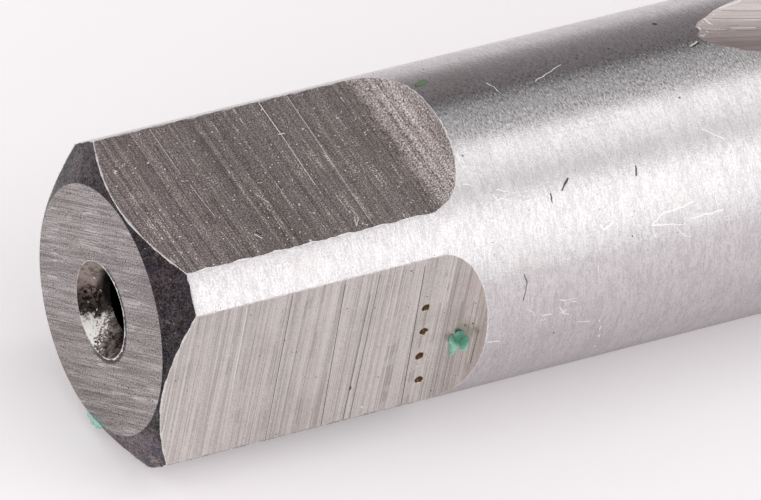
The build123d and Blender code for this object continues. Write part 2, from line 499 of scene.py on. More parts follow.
class Value:
    # a node's output, which can be reckoned with like a number
    def __init__(self, socket):
        self.socket = socket

    def __add__(self, other):
        return calc("ADD", self, other)

    def __sub__(self, other):
        return calc("SUBTRACT", self, other)

    def __rsub__(self, other):
        return calc("SUBTRACT", other, self)

    def __mul__(self, other):
        return calc("MULTIPLY", self, other)

    def __truediv__(self, other):
        return calc("DIVIDE", self, other)


class Node:
    # a node whose outputs are asked for by name or number
    def __init__(self, node):
        self.node = node

    def __getitem__(self, name):
        return Value(self.node.outputs[name])


def feed(socket, value):
    # a plain value or another node's output goes into an input
    if isinstance(value, Value):
        socket.id_data.links.new(value.socket, socket)
    else:
        socket.default_value = value


def addNode(tree, kind, inputs=None, **settings):
    # one node; its inputs are given by name or number
    node = tree.nodes.new(kind if "Node" in kind else "ShaderNode" + kind)
    for name, value in settings.items():
        setattr(node, name, value)
    for name, value in (inputs or {}).items():
        feed(node.inputs[name], value)
    return Node(node)


def treeOf(*values):
    # the tree that holds the first node's output among the values
    return next(value.socket.id_data for value in values if isinstance(value, Value))


def calc(operation, first, second=0.0, clamp=False):
    return addNode(treeOf(first, second), "Math", {0: first, 1: second}, operation=operation,
                   use_clamp=clamp)[0]


def most(first, *others):
    for other in others:
        first = calc("MAXIMUM", first, other)
    return first


def move(operation, first, second=(0.0, 0.0, 0.0)):
    node = addNode(treeOf(first, second), "VectorMath", {0: first, 1: second}, operation=operation)
    return node["Value" if operation in ("LENGTH", "DOT_PRODUCT") else 0]


def scaled(vector, scale):
    return addNode(treeOf(vector), "VectorMath", {0: vector, "Scale": scale}, operation="SCALE")[0]


def split(place):
    parts = addNode(treeOf(place), "SeparateXYZ", {0: place})
    return [parts[axis] for axis in range(3)]


def cloudy(place, scale, detail=2.0, rough=0.5, output=0):
    return addNode(treeOf(place), "TexNoise",
                   {"Vector": place, "Scale": scale, "Detail": detail, "Roughness": rough})[output]


def fade(value, low, high):
    # a mask that rises smoothly from 0 at low to 1 at high
    return addNode(treeOf(value), "MapRange", {"Value": value, "From Min": low, "From Max": high},
                   interpolation_type="SMOOTHSTEP")[0]


def paint(share, under, over, mode="MIX"):
    # colours are mixed by a mask
    ends = [value if isinstance(value, Value) else (*value, 1) for value in (under, over)]
    return addNode(treeOf(share, under, over), "Mix", {0: share, 6: ends[0], 7: ends[1]},
                   data_type="RGBA", blend_type=mode)[2]


def tint(share, colour, over):
    return paint(share, colour, over, "MULTIPLY")


def band(value, rise, fall):
    # a mask that is full between two smooth edges
    return fade(value, *rise) * fade(value, *fall)


def newGroup(name, kind, inputs, build):
    # a group of nodes, built from its inputs; the kind of each input follows from its first value
    group = bpy.data.node_groups.new(name, kind + "NodeTree")
    kinds = {tuple: "Vector", float: "Float", int: "Int", str: "Geometry", type(None): "Material"}
    for label, value in inputs.items():
        socketKind = kinds[type(value)]
        socket = group.interface.new_socket(label, in_out="INPUT", socket_type="NodeSocket" + socketKind)
        if socketKind not in ("Geometry", "Material"):
            socket.default_value = value
    given = group.nodes.new("NodeGroupInput").outputs
    results = build(group, *[Value(given[label]) for label in inputs])
    resultKind = "Geometry" if kind == "Geometry" else "Float"
    for label in results:
        group.interface.new_socket(label, in_out="OUTPUT", socket_type="NodeSocket" + resultKind)
    put = group.nodes.new("NodeGroupOutput").inputs
    for label, value in results.items():
        feed(put[label], value)
    return group


def toolLineNodes(group, place, stretch, grain, seed):
    # streaks left by grinding or milling; stretch is how often they change along each axis, per millimetre
    shift = addNode(group, "CombineXYZ", {axis: seed for axis in range(3)})[0]
    streaked = move("ADD", move("MULTIPLY", place, stretch), shift)
    coarse, fine, hair = [cloudy(streaked, scale, detail, 0.6)
                          for scale, detail in ((0.25, 2.0), (1.0, 3.0), (2.6, 2.0))]
    plain = move("ADD", place, shift)
    mixed = coarse * 0.25 + fine * 0.4 + hair * 0.35 + (cloudy(plain, 9.0, 1.5, 0.7) - 0.5) * grain
    # single long scratches follow level lines of the coarse streaks; grooves and ridges take turns
    broken = fade(cloudy(plain, 0.45), 0.46, 0.52)
    groove = fade(calc("ABSOLUTE", coarse - 0.45), 0.022, 0.007)
    ridge = fade(calc("ABSOLUTE", coarse - 0.56), 0.016, 0.005)
    return {"Height": mixed, "Tone": fade(mixed, 0.37, 0.63),
            "Dark": most(groove * broken, fade(fine, 0.37, 0.3)),
            "Bright": most(ridge * (1.0 - broken), fade(hair, 0.63, 0.72))}


def speckNodes(group, place, often, size, share):
    # small round marks: cells per millimetre, the mark's share of its cell, and the share of cells with one
    cells = addNode(group, "TexVoronoi", {"Vector": place, "Scale": often})
    near = fade(cells["Distance"] / size, 1.0, 0.55)
    chosen = addNode(group, "SeparateColor", {0: cells["Color"]})[0]
    return {"Mask": near * calc("LESS_THAN", chosen, share)}


def patchNodes(group, place, size, cover, softness):
    # soft blotches such as film, stain and scale: size in millimetres, cover from 0 to 1
    middle = 0.75 - cover * 0.5
    blotch = cloudy(place, calc("DIVIDE", 1.0, size), 5.0, 0.6)
    return {"Mask": fade(blotch, middle - softness, middle + softness)}


def scratchNodes(group, place, start, end, width):
    # one straight stroke between two places
    line = move("SUBTRACT", end, start)
    away = move("SUBTRACT", place, start)
    along = calc("DIVIDE", move("DOT_PRODUCT", away, line), move("DOT_PRODUCT", line, line), clamp=True)
    gap = move("LENGTH", move("SUBTRACT", away, scaled(line, along)))
    return {"Mask": fade(gap / width, 0.9, 0.25)}


def ringNodes(group, place, centre, radius, reach):
    # a stain roughened by grain: a filled spot and the halo round it
    gap = move("LENGTH", move("SUBTRACT", place, centre)) + (cloudy(place, 5.0, 3.0) - 0.5) * 0.3
    return {"Spot": fade(gap, radius, radius * 0.75), "Halo": fade(gap, reach, radius)}


origin = (0.0, 0.0, 0.0)
toolLines = newGroup("toolLines", "Shader", {
    "Place": origin, "Stretch": (5.0, 0.2, 0.2), "Grain": 0.2, "Seed": 0.0}, toolLineNodes)
specks = newGroup("specks", "Shader", {"Place": origin, "Often": 1.0, "Size": 0.1, "Share": 0.3}, speckNodes)
patches = newGroup("patches", "Shader", {
    "Place": origin, "Size": 3.0, "Cover": 0.3, "Softness": 0.1}, patchNodes)
scratch = newGroup("scratch", "Shader", {
    "Place": origin, "From": origin, "To": (1.0, 0.0, 0.0), "Width": 0.05}, scratchNodes)
stainRing = newGroup("stainRing", "Shader", {
    "Place": origin, "Centre": origin, "Radius": 0.2, "Reach": 0.4}, ringNodes)


def use(group, **values):
    # one of the groups above, with values for its inputs
    return addNode(treeOf(*values.values()), "Group", values, node_tree=group)


def newMaterial(name):
    # a material, the inputs of its shader, and the place on the object in millimetres
    material = bpy.data.materials.new(name)
    material.use_nodes = True
    tree = material.node_tree
    return material, tree.nodes["Principled BSDF"].inputs, scaled(addNode(tree, "TexCoord")["Object"], 1 / mm)


def steelFinish(name, settings, extra=None):
    # a worked steel surface: tone from its tool lines, then stains, specks, and whatever is special to it
    material, shader, place = newMaterial(name)
    tree = material.node_tree
    turn = [math.radians(angle) for angle in settings["turn"]]
    turned = addNode(tree, "Mapping", {"Vector": place, "Rotation": turn})[0]
    lines = use(toolLines, Place=turned, Stretch=settings["stretch"], Grain=settings["grain"],
                Seed=settings["seed"])
    colour = paint(lines["Tone"], settings["dark"], settings["light"])
    colour = paint(lines["Dark"] * settings["boldDark"], colour, settings["groove"])
    colour = paint(lines["Bright"] * settings["boldBright"], colour, settings["shine"])
    stain = use(patches, Place=place, Size=settings["stainSize"], Cover=settings["stainCover"], Softness=0.12)
    colour = paint(stain["Mask"] * settings["stainDepth"], colour, settings["stain"])
    for often, size, share, dotColour in settings["specks"]:
        dot = use(specks, Place=place, Often=often, Size=size, Share=share)["Mask"]
        colour = paint(dot, colour, dotColour)
    sleek, dull = settings["rough"]
    rough = lines["Tone"] * (sleek - dull) + dull
    height = lines["Height"]
    if extra:
        colour, rough, height = extra(place, colour, rough, height)
    bump = addNode(tree, "Bump", {"Height": height, "Strength": 1.0, "Distance": settings["bump"] * mm})[0]
    for label, value in {"Base Color": colour, "Roughness": rough, "Normal": bump,
                         "Metallic": settings["metallic"]}.items():
        feed(shader[label], value)
    return material


def finish(**changes):
    # the settings that a finish shares with the others, and its own
    settings = {"turn": (0, 0, 0), "stretch": (5.0, 0.12, 0.12), "grain": 0.25, "seed": 0.0, "boldDark": 0.0,
                "boldBright": 0.0, "groove": (0.2, 0.18, 0.17), "shine": (0.95, 0.93, 0.92),
                "stain": (0.3, 0.25, 0.2), "stainSize": 5.0, "stainCover": 0.3, "stainDepth": 0.2,
                "specks": [], "rough": (0.2, 0.3), "bump": 0.006, "metallic": 1.0}
    settings.update(changes)
    return settings


blackDot, greyDot, whiteDot = (0.03, 0.025, 0.022), (0.3, 0.28, 0.27), (0.97, 0.95, 0.93)
finishes = {
    "centreHole": finish(dark=(0.1, 0.08, 0.07), light=(0.36, 0.32, 0.3), stretch=(2.5, 2.5, 2.5), grain=0.5,
                         specks=[(5.0, 0.3, 0.35, blackDot)], rough=(0.22, 0.36)),
    "endFace": finish(dark=(0.18, 0.161, 0.158), light=(0.462, 0.422, 0.412), turn=(36, 0, 0),
                      stretch=(1.0, 0.2, 11.0), grain=0.8, boldDark=0.6, boldBright=0.35,
                      groove=(0.2, 0.175, 0.165), rough=(0.36, 0.5), seed=3.0,
                      specks=[(2.5, 0.18, 0.12, blackDot), (5.0, 0.25, 0.03, blackDot)], stainCover=0.25),
    "bevel": finish(dark=(0.027, 0.0235, 0.0246), light=(0.086, 0.077, 0.0795), stretch=(3.0, 3.0, 3.0),
                    grain=0.9, boldDark=0.6, groove=(0.012, 0.011, 0.012), boldBright=0.3,
                    shine=(0.3, 0.27, 0.26),
                    specks=[(4.0, 0.18, 0.08, (0.4, 0.36, 0.34))], rough=(0.38, 0.55),
                    stain=(0.035, 0.038, 0.055), stainDepth=0.5, stainSize=1.6),
    "flat": finish(dark=(0.598, 0.562, 0.543), light=(0.894, 0.842, 0.818), stretch=(10.5, 0.045, 0.045),
                   grain=0.3, boldDark=0.5, groove=(0.36, 0.325, 0.31), boldBright=0.35,
                   rough=(0.26, 0.38), seed=7.0,
                   specks=[(2.5, 0.15, 0.05, blackDot), (4.0, 0.16, 0.02, blackDot)]),
    "shank": finish(dark=(0.65, 0.618, 0.634), light=(0.83, 0.8, 0.81), stretch=(8.0, 2.0, 2.0), grain=0.5,
                    boldBright=0.3, boldDark=0.2, groove=(0.42, 0.4, 0.41), rough=(0.13, 0.21), seed=13.0,
                    stainCover=0.2, stain=(0.6, 0.55, 0.5), stainDepth=0.3, bump=0.018,
                    specks=[(2.0, 0.1, 0.12, greyDot), (4.0, 0.2, 0.04, whiteDot)]),
    "edge": finish(dark=(0.72, 0.7, 0.69), light=(0.98, 0.96, 0.95), rough=(0.3, 0.4), stretch=(4, 4, 4),
                   boldDark=0.25, groove=(0.2, 0.17, 0.16), stainDepth=0.0, metallic=0.3),
    "flute": finish(dark=(0.79, 0.728, 0.72), light=(0.85, 0.784, 0.776), stretch=(0.4, 5.0, 5.0),
                    rough=(0.42, 0.6), seed=17.0, stain=(0.5, 0.42, 0.36), stainDepth=0.3,
                    metallic=0.6, grain=0.12),
    "thread": finish(dark=(0.46, 0.44, 0.42), light=(0.72, 0.69, 0.67), stretch=(6.0, 0.5, 0.5),
                     rough=(0.26, 0.36), seed=19.0, boldDark=0.3, boldBright=0.2),
    "crest": finish(dark=(0.55, 0.52, 0.51), light=(0.82, 0.79, 0.78), stretch=(6.0, 0.4, 0.4),
                    rough=(0.2, 0.3), seed=23.0, boldDark=0.3, boldBright=0.2),
    "frontFace": finish(dark=(0.42, 0.39, 0.37), light=(0.68, 0.64, 0.62), stretch=(1.0, 0.25, 6.0),
                        rough=(0.3, 0.42), seed=29.0, turn=(20, 0, 0), boldDark=0.4, boldBright=0.2),
}

# Marks on the two flats in sight: each stroke runs from one place to another, in millimetres, then its width
flatMarks = {
    "chalk": [
        (12.59, 6.15, 7.92, 12.56, 2.98, 7.92, 0.05), (12.56, 2.98, 7.92, 12.44, -1.62, 7.92, 0.035),
        (14.54, 6.07, 7.92, 14.25, -2.32, 7.92, 0.024), (14.25, -2.32, 7.92, 14.1, -5.78, 7.92, 0.02),
        (5.15, 6.0, 7.92, 5.09, 1.85, 7.92, 0.024), (5.2, 0.89, 7.92, 5.33, -2.1, 7.92, 0.022),
        (5.11, -3.41, 7.92, 5.18, -5.72, 7.92, 0.018), (8.59, -1.17, 7.92, 9.03, -2.15, 7.92, 0.028),
        (12.4, 3.1, 7.92, 12.8, 3.05, 7.92, 0.06), (6.9, -4.3, 7.92, 7.15, -4.75, 7.92, 0.06),
        (13.4, -4.81, 7.92, 13.1, -5.62, 7.92, 0.03), (13.1, -5.62, 7.92, 13.57, -5.05, 7.92, 0.03),
        (14.58, -7.92, -5.3, 14.6, -7.92, -5.4, 0.1), (4.87, -7.92, 5.68, 5.05, -7.92, -5.45, 0.045),
        (14.95, -7.92, 5.5, 15.0, -7.92, 1.81, 0.03), (20.62, -9.27, 1.4, 20.62, -9.27, -2.3, 0.03),
        (19.0, -8.08, 5.1, 19.03, -8.09, 2.2, 0.03)],
    "dark": [
        (11.51, -7.92, 5.72, 11.91, -7.92, -6.34, 0.04), (7.92, -7.92, 5.82, 8.07, -7.92, -5.97, 0.035),
        (13.87, -7.92, 5.82, 13.87, -7.92, -6.11, 0.03), (17.0, -7.92, 5.54, 17.43, -7.92, -5.97, 0.045),
        (13.47, -7.92, 4.23, 13.4, -7.92, -6.97, 0.03), (13.46, -7.92, -3.36, 13.46, -7.92, -3.52, 0.13),
        (9.01, -7.92, 0.92, 9.01, -7.92, 0.9, 0.08), (16.07, -7.92, 5.41, 16.1, -7.92, 5.4, 0.09),
        (15.33, -7.92, -3.08, 15.33, -7.92, -3.1, 0.08), (20.18, -8.78, 0.5, 20.24, -8.82, 0.48, 0.09),
        (20.49, -9.11, 0.84, 20.5, -9.12, 0.83, 0.1), (7.05, -4.15, 7.92, 7.3, -4.6, 7.92, 0.09),
        (20.75, -9.47, 0.6, 20.72, -9.43, -2.2, 0.035)],
    "grey": [
        (19.3, -8.2, 4.6, 19.38, -8.23, -5.6, 0.04), (20.35, -8.95, 2.6, 20.35, -8.95, -3.6, 0.04),
        (19.75, -8.44, -1.8, 19.8, -8.46, -6.0, 0.045)],
    "filmDark": (0.395, 0.357, 0.359), "filmLight": (1.22, 1.12, 1.12), "filmBump": 1.7,
    "filmStreak": (0.55, 0.51, 0.51), "filmShine": (1.3, 1.21, 1.2), "filmLines": (0.7, 0.68, 0.68),
    "wornTint": (0.82, 0.775, 0.755), "cleanTint": (1.15, 1.12, 1.13), "spark": (0.98, 0.94, 0.92),
    "pit": (0.45, 0.42, 0.41), "dentColour": (0.1, 0.055, 0.038), "dentMiddle": (0.32, 0.24, 0.18),
    "dentHalo": (0.8, 0.7, 0.52),
    "smears": [((20.3, -8.9, 0.2), 0.2, 0.75), ((20.67, -9.35, 0.47), 0.1, 0.4),
               ((19.62, -8.36, -0.7), 0.2, 0.5)],
    "smearColour": (0.22, 0.25, 0.17), "filmEdge": (7.6, 7.85), "grit": (11.0, 2.0, 0.75),
    "gritEdge": (0.4, 0.63), "streaks": (9.0, 0.03, 0.03), "shineEdge": (0.44, 0.56),
    "cleanEdge": (9.0, 2.0), "hollowEdge": (18.2, 19.2), "sparkEdge": (0.57, 0.66), "pitEdge": (0.42, 0.33),
    "wornEdge": (18.6, 20.6), "frontEdge": (-7.5, -7.8), "dentRing": (0.31, 0.46), "dentFloor": (0.13, 0.16),
}

# What a stroke looks like: its colour and least roughness; bright ones shine, chalk ones scatter light
strokeKinds = {"bright": ((0.98, 0.96, 0.95), 0.3), "chalk": ((0.98, 0.96, 0.95), 0.88),
               "grey": ((0.4, 0.35, 0.335), 0.0), "dark": ((0.1, 0.08, 0.065), 0.0)}


def drawMarks(place, colour, rough, marks):
    # single scratches and dots, each a straight stroke with round ends
    for kind, (strokeColour, dull) in strokeKinds.items():
        masks = []
        for stroke in marks.get(kind, []):
            half = len(stroke) // 2
            start, end = [stroke[at:at + half] + (0.0,) * (3 - half) for at in (0, half)]
            masks.append(use(scratch, Place=place, From=start, To=end, Width=stroke[-1])["Mask"])
        if masks:
            mask = most(*masks)
            colour = paint(mask, colour, strokeColour)
            rough = most(rough, mask * dull)
    return colour, rough


def unroll(place):
    # place along the tap and round it from the top, in millimetres on the shank, and the angle
    x, y, z = split(place)
    angle = calc("ARCTAN2", y * -1.0, z)
    return addNode(treeOf(place), "CombineXYZ", {0: x, 1: angle * tapSize["shankRadius"]})[0], angle


def flatExtra(place, colour, rough, height):
    # the upper flat carries a darker, gritty film; rust rings the dents, and the wax has left a smear
    marks = flatMarks
    x, y, z = split(place)
    film = fade(z, *marks["filmEdge"])
    grit = cloudy(place, *marks["grit"])
    cover = paint(fade(grit, *marks["gritEdge"]), marks["filmDark"], marks["filmLight"])
    streaks = use(toolLines, Place=place, Stretch=marks["streaks"], Grain=0.15, Seed=41.0)
    cover = tint(fade(streaks["Tone"], 1.0, 0.0), cover, marks["filmLines"])
    cover = tint(streaks["Dark"] * 0.7, cover, marks["filmStreak"])
    shine = streaks["Bright"] * fade(grit, *marks["shineEdge"])
    cover = paint(shine, cover, marks["filmShine"])
    rough = most(rough, film * shine * 0.8)
    colour = tint(film, colour, cover)
    colour = tint(film * fade(x, *marks["cleanEdge"]), colour, marks["cleanTint"])
    height = height + film * grit * marks["filmBump"]
    # in the hollow at its end the grit gets painted glints
    hollow = film * fade(x, *marks["hollowEdge"])
    spark = hollow * fade(grit, *marks["sparkEdge"])
    colour = paint(spark * 0.8, colour, marks["spark"])
    rough = most(rough, spark * 0.7)
    colour = tint(hollow * fade(grit, *marks["pitEdge"]), colour, marks["pit"])
    # the front flat is worn duller in its own hollow
    worn = use(patches, Place=place, Size=2.4, Cover=0.75, Softness=0.14)["Mask"]
    worn = worn * fade(x, *marks["wornEdge"]) * fade(y, *marks["frontEdge"])
    colour = tint(worn, colour, marks["wornTint"])
    colour, rough = drawMarks(place, colour, rough, marks)
    dents = [(along, -tapSize["flatHeight"], up) for along, up in dentSet["places"]]
    rings = [(spot, *marks["dentRing"]) for spot in dents]
    middles = [(spot, *marks["dentFloor"]) for spot in dents]
    layers = [(rings, "Halo", 0.5, "dentHalo"), (rings, "Spot", 1.0, "dentColour"),
              (middles, "Spot", 0.7, "dentMiddle"), (marks["smears"], "Halo", 0.6, "smearColour")]
    for spots, part, share, name in layers:
        masks = [use(stainRing, Place=place, Centre=centre, Radius=radius, Reach=reach)[part]
                 for centre, radius, reach in spots]
        colour = paint(most(*masks) * share, colour, marks[name])
    return colour, rough, height


# The end face: green left by wax, painted light and shade that make it darker at the top and back, and a
# painted shadow round the rim of the centre hole
endMarks = {"waxPlace": (0.0, -2.05, -7.3), "wax": (0.2, 0.3, 0.26), "pale": (1.11,) * 3, "dull": (0.84,) * 3,
            "waxReach": 0.85, "grime": (0.05, 0.043, 0.04), "rim": (3.38, 3.24), "rimSide": (0.8, -0.8),
            "paleEdge": (-8.0, 8.0)}


def endExtra(place, colour, rough, height):
    y, z = split(place)[1:]
    reach = move("LENGTH", move("MULTIPLY", place, (0.0, 1.0, 1.0))) + (cloudy(place, 3.0, 3.0) - 0.5) * 0.25
    # painted shadow of the rim's burr, just outside the rim on the front side
    grime = fade(reach, *endMarks["rim"]) * fade(y, *endMarks["rimSide"])
    film = use(stainRing, Place=place, Centre=endMarks["waxPlace"], Radius=0.2, Reach=endMarks["waxReach"])
    colour = paint(film["Halo"] * 0.5, colour, endMarks["wax"])
    # painted light and shade: paler towards the bottom and front, darker towards the top and back
    colour = tint(1.0, colour, paint(fade(y + z, *endMarks["paleEdge"]), endMarks["pale"], endMarks["dull"]))
    return paint(grime * 0.9, colour, endMarks["grime"]), rough, height


# Painted light on the bevel, paler towards the bottom and the top: between which heights, and the colour it
# is multiplied by
bevelPaintedLight = [(-2.0, -5.5, (3.05, 2.85, 2.9)), (3.6, 6.6, (1.55, 1.44, 1.48))]


def bevelExtra(place, colour, rough, height):
    # painted light: the bevel is made paler towards the bottom and the top
    for start, full, tone in bevelPaintedLight:
        colour = tint(fade(split(place)[2], start, full), colour, tone)
    return colour, rough, height


# Handling marks on the shank: from and to, as place along the tap and round it from the top, then the width
shankMarks = {
    "bright": [
        (32.41, 10.49, 33.17, 9.98, 0.06), (33.17, 9.98, 35.38, 9.72, 0.06),
        (32.41, 10.49, 34.75, 10.96, 0.06), (35.2, 10.68, 37.38, 10.67, 0.08),
        (37.12, 5.56, 38.35, 6.47, 0.06), (28.91, 9.71, 29.11, 10.06, 0.06),
        (29.11, 10.06, 29.73, 9.67, 0.06), (36.98, 9.7, 37.08, 10.45, 0.05),
        (34.04, 11.05, 34.43, 11.59, 0.06), (34.43, 11.59, 35.06, 11.84, 0.06),
        (22.53, 6.07, 23.27, 6.33, 0.05), (22.22, 6.37, 22.49, 6.81, 0.05), (22.49, 6.81, 22.87, 6.71, 0.05),
        (20.6, 5.3, 21.1, 5.5, 0.05), (32.46, 10.69, 32.55, 11.32, 0.05)],
    "chalk": [
        (28.33, -0.43, 30.62, -1.27, 0.045), (25.47, -1.27, 25.77, -0.33, 0.045),
        (25.9, 13.94, 27.1, 14.18, 0.055), (26.33, 14.25, 27.2, 14.43, 0.05),
        (24.81, 14.76, 25.48, 14.87, 0.08), (24.73, 15.12, 25.14, 15.16, 0.05),
        (25.96, 14.43, 26.3, 14.91, 0.07), (26.3, 14.91, 26.72, 15.22, 0.09),
        (26.48, 14.73, 26.09, 14.93, 0.07), (27.47, 16.05, 28.37, 16.29, 0.065),
        (21.18, 15.81, 22.05, 15.99, 0.065), (29.14, 16.43, 29.16, 16.45, 0.12),
        (29.39, 17.1, 29.39, 17.4, 0.09), (29.59, 18.05, 29.6, 18.1, 0.13),
        (29.76, 19.47, 29.76, 19.5, 0.12), (34.09, 19.17, 34.1, 19.2, 0.12),
        (21.76, 18.65, 21.78, 18.68, 0.11), (23.76, 13.99, 24.3, 14.7, 0.045),
        (38.53, 18.72, 38.55, 18.75, 0.12), (28.55, 12.2, 28.62, 12.7, 0.05),
        (39.05, -0.2, 39.6, -0.45, 0.07)],
    "dark": [
        (27.38, 6.47, 26.83, 7.09, 0.09), (25.99, 7.15, 26.0, 7.59, 0.09), (32.02, 6.75, 31.91, 7.35, 0.08),
        (36.46, 3.31, 36.48, 3.33, 0.1), (30.98, 10.86, 31.0, 10.9, 0.08), (21.3, 3.61, 21.32, 3.65, 0.1),
        (38.28, -3.22, 38.3, -3.12, 0.2), (34.22, -1.68, 34.25, -1.66, 0.1),
        (39.15, -0.06, 39.7, -0.33, 0.08), (23.49, 11.62, 23.62, 12.17, 0.055),
        (23.62, 12.17, 23.36, 13.25, 0.05), (25.9, 16.5, 25.92, 16.55, 0.1)],
    # painted glints and dark flecks where the shank lies in shade, a warm tint over the shade band, and
    # painted shade on the lower front
    "dullTint": (0.46, 0.44, 0.45), "litTint": (0.98, 0.94, 0.97), "shadeTint": (1.05, 0.98, 0.99),
    "underTint": (0.93, 0.93, 0.94), "flecks": (11.0, 3.6, 1.0), "fleckBand": ((-0.4, -0.12), (0.36, 0.2)),
    "litEdge": (0.54, 0.68), "litSide": (-0.22, 0.05), "dullEdge": (0.48, 0.36),
    "shadeBand": ((0.0, -0.1), (-0.5, -0.3)), "underBand": ((1.5, 1.7), (2.04, 1.88)),
    "sway": (0.3, 0.3, 0.0),
}


def shankExtra(place, colour, rough, height):
    marks = shankMarks
    unrolled, angle = unroll(place)
    # painted glints and dark flecks stand in for grinding flecks catching the light where the shank lies in
    # shade
    flecks = cloudy(move("MULTIPLY", unrolled, marks["flecks"]), 1.0, 2.0, 0.7)
    across = band(angle, *marks["fleckBand"])
    glints = fade(flecks, *marks["litEdge"]) * across * 0.95 * fade(angle, *marks["litSide"])
    colour = tint(fade(flecks, *marks["dullEdge"]) * across, colour, marks["dullTint"])
    colour = paint(glints, colour, marks["litTint"])
    # painted shade: a warm tint over the shade band, and a darker band on the lower front of the shank
    colour = tint(band(angle, *marks["shadeBand"]), colour, marks["shadeTint"])
    colour = tint(band(angle, *marks["underBand"]), colour, marks["underTint"])
    rough = most(rough, glints * 0.6)
    # the marks waver a little, like real scratches
    sway = move("SUBTRACT", cloudy(place, 1.6, 1.0, output="Color"), (0.5, 0.5, 0.5))
    unrolled = move("ADD", unrolled, move("MULTIPLY", sway, marks["sway"]))
    return *drawMarks(unrolled, colour, rough, marks), height


# The upper flute: lines along it, each at its place round the tap, and painted shade that darkens its lower
# half
fluteMarks = {
    "chalk": [
        (42.9, -1.63, 44.6, -1.58, 0.06), (42.9, -3.25, 44.7, -3.72, 0.08),
        (44.2, -2.37, 45.4, -2.33, 0.035), (40.9, -1.53, 42.4, -1.55, 0.03),
        (41.42, -2.42, 41.55, -2.12, 0.12), (41.6, -2.1, 41.68, -2.0, 0.07),
        (41.1, -2.22, 41.14, -2.2, 0.09), (42.2, -2.75, 42.24, -2.77, 0.09),
        (40.28, -0.98, 40.4, -0.86, 0.1), (40.55, -1.05, 40.62, -1.0, 0.07),
        (40.52, -1.78, 40.55, -1.74, 0.07), (40.8, -2.0, 40.84, -1.98, 0.06)],
    "grey": [
        (40.6, -1.37, 42.6, -1.4, 0.055), (43.1, -1.36, 45.8, -1.25, 0.065),
        (42.7, -1.87, 43.5, -1.84, 0.045), (42.0, -2.52, 45.9, -2.42, 0.04),
        (43.0, -3.08, 46.0, -3.05, 0.05), (42.4, -0.62, 45.6, -0.45, 0.06)],
    "filmTint": (0.5, 0.45, 0.45), "lineTint": (0.85, 0.815, 0.805), "shineTint": (1.16, 1.12, 1.115),
    "filmBand": ((-0.3, 0.07), (0.8, 0.5)), "lines": (0.06, 3.4, 1.0),
}


def fluteExtra(place, colour, rough, height):
    unrolled, angle = unroll(place)
    lines = use(toolLines, Place=unrolled, Stretch=fluteMarks["lines"], Grain=0.12, Seed=31.0)
    colour = tint(1.0, colour, paint(lines["Tone"], fluteMarks["lineTint"], fluteMarks["shineTint"]))
    # painted shade over the lower half of the flute
    colour = tint(band(angle, *fluteMarks["filmBand"]), colour, fluteMarks["filmTint"])
    return *drawMarks(unrolled, colour, rough, fluteMarks), height


def angleRamp(turn, stops):
    # a colour or a level by the angle; each stop has degrees from -180 to 180
    ramp = addNode(treeOf(turn), "ValToRGB", {"Fac": turn / (2 * math.pi) + 0.5})
    elements = ramp.node.color_ramp.elements
    elements.remove(elements[-1])
    for number, (degrees, level) in enumerate(stops):
        position = (degrees + 180) / 360
        stop = elements.new(position) if number else elements[0]
        stop.position = position
        stop.color = (*(level if isinstance(level, tuple) else (level,) * 3), 1)
    return ramp[0]


# Painted light and shade in the centre hole, by the angle round it from the back downward: grey-brown, black,
# bare
holeLightAndShade = [(-180, (0.03, 0.025, 0.022)), (-128, (0.06, 0.05, 0.045)), (-106, (0.8, 0.72, 0.67)),
             (-45, (0.78, 0.7, 0.65)), (-12, (0.52, 0.44, 0.4)), (6, (0.24, 0.19, 0.17)),
             (24, (0.08, 0.062, 0.055)), (44, (0.015, 0.011, 0.01)), (54, (0.85, 0.8, 0.77)),
             (84, (1.0, 0.97, 0.95)), (150, (1.0, 0.97, 0.95))]
holeDirt = {"soot": (0.012, 0.009, 0.008), "smoke": (0.42, 0.38, 0.36), "dark": (0.014, 0.011, 0.01),
            "mottle": (0.34, 0.285, 0.265), "deep": (0.01, 0.008, 0.008),
            "sootBand": ((-0.1, 0.35), (0.9, 0.75)), "sootEdge": (0.48, 0.56), "wander": 1.1, "shift": 0.12,
            "smokeEdge": (0.56, 0.4), "smokeSide": (0.3, -0.2), "dullSide": (0.2, -0.3), "dull": 0.55,
            "slope": 0.42, "ragged": 2.6, "edge": 1.62, "upper": (-1.8, -0.7), "fade": (0.7, 1.3)}


def holeExtra(place, colour, rough, height):
    depth, y, z = split(place)
    turn = calc("ARCTAN2", z * -1.0, y)
    sway = cloudy(place, 2.2, 7.0, 0.75)
    # painted light and shade by the angle round the hole
    shadedByAngle = angleRamp(turn + (sway - 0.5) * holeDirt["wander"] - depth * holeDirt["shift"], holeLightAndShade)
    colour = paint(0.94, colour, shadedByAngle)
    # painted shade: black blotches on the back wall, down towards the bottom
    soot = fade(cloudy(place, 3.2, 6.0, 0.7), *holeDirt["sootEdge"]) * band(turn, *holeDirt["sootBand"])
    colour = paint(soot, colour, holeDirt["soot"])
    # darker blotches on the upper side of the hole
    smoke = fade(sway, *holeDirt["smokeEdge"]) * fade(turn, *holeDirt["smokeSide"])
    colour = tint(smoke, colour, holeDirt["smoke"])
    # swarf and dirt lie in the lower part, reaching higher up farther in
    edge = turn + depth * holeDirt["slope"] + (cloudy(place, 6.0, 4.0, 0.7) - 0.5) * holeDirt["ragged"]
    dirt = fade(edge, holeDirt["edge"] - 0.06, holeDirt["edge"] + 0.1)
    colour = paint(dirt, colour, paint(fade(sway, 0.38, 0.62), holeDirt["dark"], holeDirt["mottle"]))
    # painted shade: the upper half is black from close behind the rim, the lower half only farther in
    reach = 1.6 - fade(z, *holeDirt["upper"]) * 0.5
    rough = most(rough, fade(turn, *holeDirt["dullSide"]) * holeDirt["dull"])
    return paint(fade(depth / reach, *holeDirt["fade"]), colour, holeDirt["deep"]), rough, height


